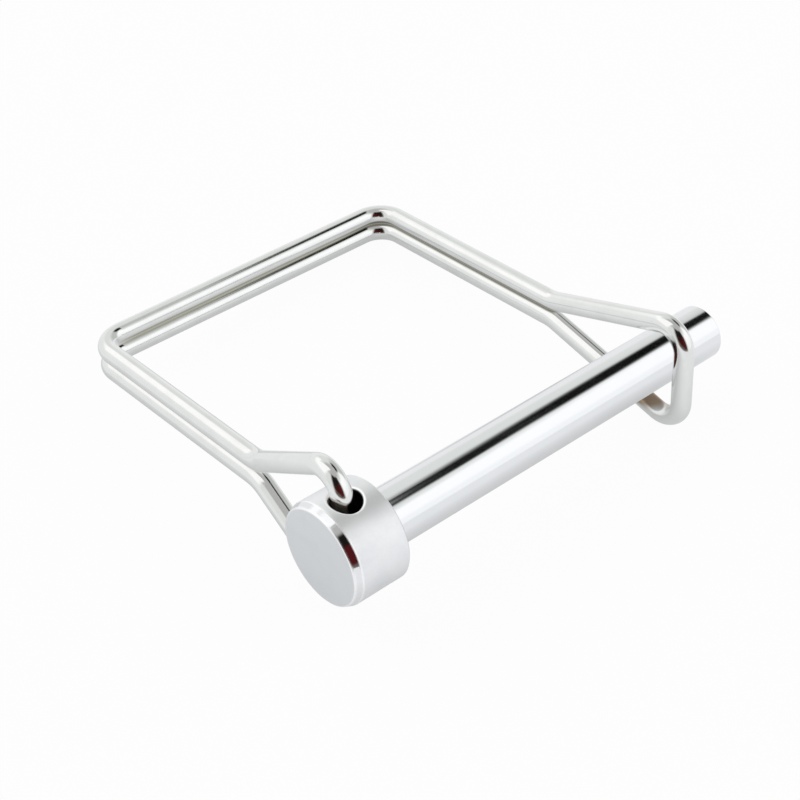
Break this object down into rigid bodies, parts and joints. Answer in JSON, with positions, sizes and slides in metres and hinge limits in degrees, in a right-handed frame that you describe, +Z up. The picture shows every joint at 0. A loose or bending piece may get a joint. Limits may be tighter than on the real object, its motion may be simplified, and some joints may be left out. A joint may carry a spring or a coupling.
{
  "type": "wire lock pin",
  "caption": "Headed steel clevis pin with a square spring-wire bail hinged in its head; the bail's loop closes round the shank behind the tip.",
  "frame": {"origin": "centre of the head's underside, on the shank's axis", "axes": "+Z straight up from the table on which the latched part lies; +X along the shank to the tip, level apart from the shank's 3 degree slope; +Y from the shank towards the bail's square"},
  "size_m": [0.0711, 0.0673, 0.0224],
  "materials": {
    "pin_steel": "bright plated turned steel, mirror-like on the shank and satin on the head's end face",
    "wire_steel": "bright plated spring-steel wire, nearly mirror-like"
  },
  "bodies": {
    "pin": {"headed_pin": "pin_steel"},
    "bail": {"wire_bail": "wire_steel"}
  },
  "joints": [
    {"name": "bail_swing", "type": "hinge", "parent": "pin", "child": "bail", "pos_m": [-0.00434, 0, 0.00023], "axis": [0.0522, 0.1012, 0.9935], "range_deg": [0, 255], "deforming": ["wire_bail"]}
  ]
}
